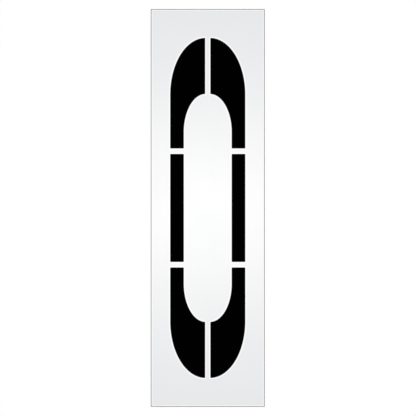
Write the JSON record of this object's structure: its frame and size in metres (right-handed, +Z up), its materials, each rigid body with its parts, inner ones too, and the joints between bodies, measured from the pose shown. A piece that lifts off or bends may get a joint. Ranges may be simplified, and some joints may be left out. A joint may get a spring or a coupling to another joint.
{
  "type": "road marking stencil",
  "caption": "Flat plastic road marking stencil with bridged openings for an elongated zero, laid on the road and painted through.",
  "frame": {"origin": "centre of the sheet's underside, where it lies on the road", "axes": "+X across the sheet, +Y along the sheet towards the head of the figure, +Z up through its thickness"},
  "size_m": [0.817, 2.855, 0.0032],
  "materials": {
    "sheet": "satin, milky white uncoloured polyethylene, edges as cut"
  },
  "bodies": {
    "root": {"head_margin": "sheet", "foot_margin": "sheet", "left_margin": "sheet", "right_margin": "sheet", "island": "sheet", "head_bridge": "sheet", "foot_bridge": "sheet", "upper_left_bridge": "sheet", "upper_right_bridge": "sheet", "lower_left_bridge": "sheet", "lower_right_bridge": "sheet"}
  },
  "joints": []
}
